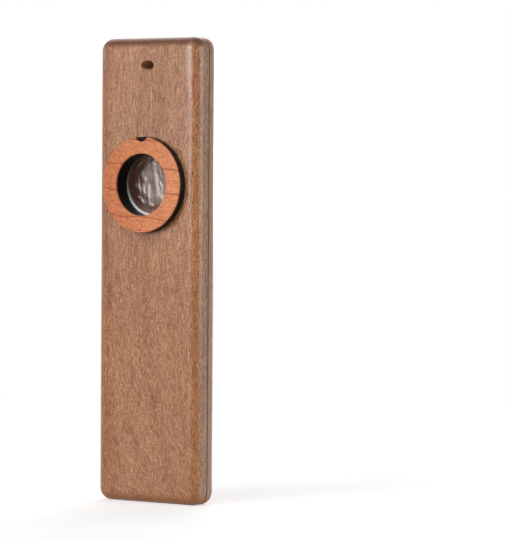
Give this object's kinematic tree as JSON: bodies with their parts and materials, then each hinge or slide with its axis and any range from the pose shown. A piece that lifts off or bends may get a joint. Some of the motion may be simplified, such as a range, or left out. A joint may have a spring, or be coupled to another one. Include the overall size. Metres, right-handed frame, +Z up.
{
  "type": "kazoo",
  "caption": "Flat wooden bar kazoo with rounded edges, a mouth slot in its lower end, a small oval vent and a round push-in cap that clamps a buzzing film membrane.",
  "frame": {"origin": "middle of the bounding box's underside, on the plane of the mouth end", "axes": "+Z up the length from the mouth end to the vent end, -Y out of the front with the cap, +X to the right in the front view"},
  "size_m": [0.0324, 0.0116, 0.12],
  "materials": {
    "body_wood": "oiled satin",
    "black_plastic": "fine moulded satin",
    "cherry_veneer": "oiled satin",
    "white_plastic": "gloss",
    "clear_film": "clear film"
  },
  "bodies": {
    "body": {"front_half": "body_wood", "back_half": "body_wood"},
    "cap": {"cap": "black_plastic", "cap_veneer": "cherry_veneer"},
    "membrane_unit": {"membrane_hoop": "white_plastic", "membrane": "clear_film"}
  },
  "joints": [
    {"name": "cap_pull", "type": "slide", "parent": "body", "child": "cap", "axis": [0, -1, 0], "range_m": [0, 0.02]},
    {"name": "membrane_lift", "type": "slide", "parent": "body", "child": "membrane_unit", "axis": [0, -1, 0], "range_m": [0, 0.01]}
  ],
  "couplings": [
    {"joint": "membrane_lift", "follows": "cap_pull", "ratio": 0.5}
  ]
}
